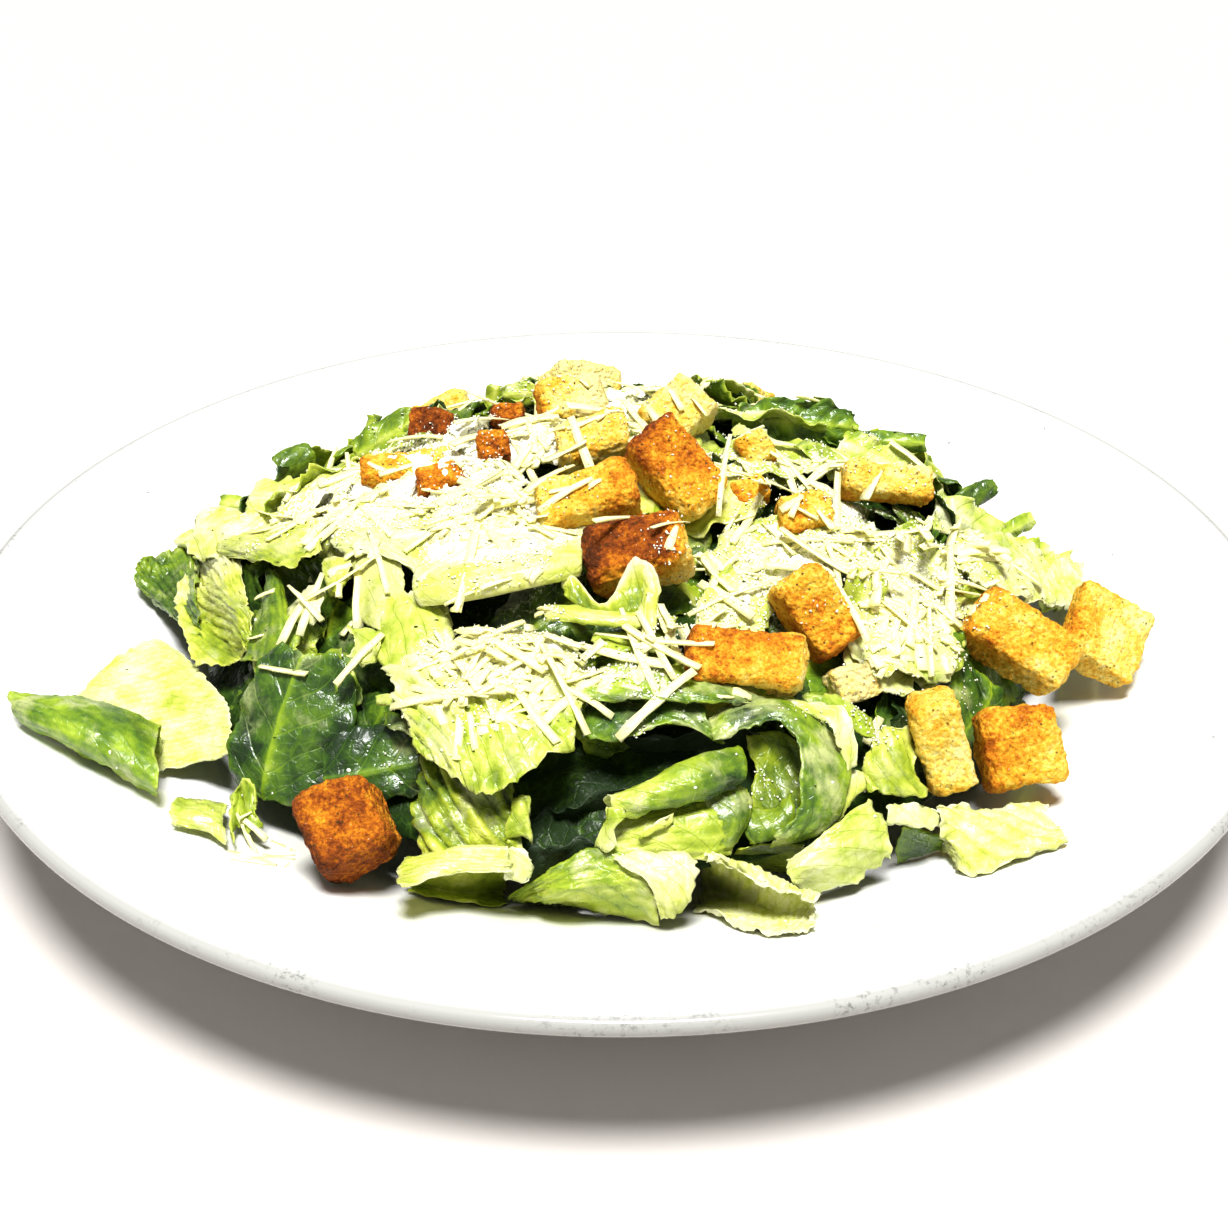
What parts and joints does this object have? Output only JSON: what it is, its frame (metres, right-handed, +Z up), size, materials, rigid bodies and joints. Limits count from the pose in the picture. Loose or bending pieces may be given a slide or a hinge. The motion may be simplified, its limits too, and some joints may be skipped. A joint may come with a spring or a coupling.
{
  "type": "caesar salad on a plate",
  "caption": "Caesar salad heaped on a round wide-rimmed white plate: torn romaine pieces, toasted bread croutons and parmesan shreds.",
  "frame": {"origin": "middle of the plate's foot ring, on the surface it stands on", "axes": "+Z up, -Y towards the diner, +X to the diner's right"},
  "size_m": [0.28, 0.28, 0.0791],
  "materials": {
    "plate": "clear gloss glaze, fine grey scuffs on the rim's edge",
    "lettuce": "romaine, moist with dressing, light veins and pale ribs",
    "crouton_gold": "golden toasted crumb with herb flecks",
    "crouton_pale": "pale toasted crumb with herb flecks",
    "crouton_brown": "dark toasted crust, grainy",
    "parmesan": "waxy cut cheese shreds and powder",
    "herb": "dried herb and pepper flecks",
    "dressing": "creamy dressing drops"
  },
  "bodies": {
    "root": {"plate": "plate", "lettuce_heap": "lettuce", "crouton_front_left": "crouton_brown", "crouton_right_tall": "crouton_pale", "crouton_right_squat": "crouton_gold", "crouton_right_long": "crouton_gold", "crouton_right_rim": "crouton_pale", "crouton_middle_front": "crouton_gold", "crouton_middle_tall": "crouton_gold", "crouton_middle_low": "crouton_pale", "crouton_centre_dark": "crouton_brown", "crouton_centre_left": "crouton_pale", "crouton_centre_curved": "crouton_gold", "crouton_crown_pale": "crouton_pale", "crouton_crown_diamond": "crouton_pale", "crouton_crown_left": "crouton_pale", "crouton_crown_small": "crouton_gold", "crouton_behind_inner": "crouton_gold", "crouton_behind_outer": "crouton_gold", "crouton_right_slab": "crouton_gold", "crouton_left_slab": "crouton_pale", "crouton_left_small": "crouton_brown", "crouton_left_round": "crouton_brown", "crouton_left_dark": "crouton_brown", "crouton_left_red": "crouton_brown", "crouton_far_left": "crouton_gold", "crouton_far_middle": "crouton_pale", "crouton_far_right": "crouton_gold"}
  },
  "joints": []
}
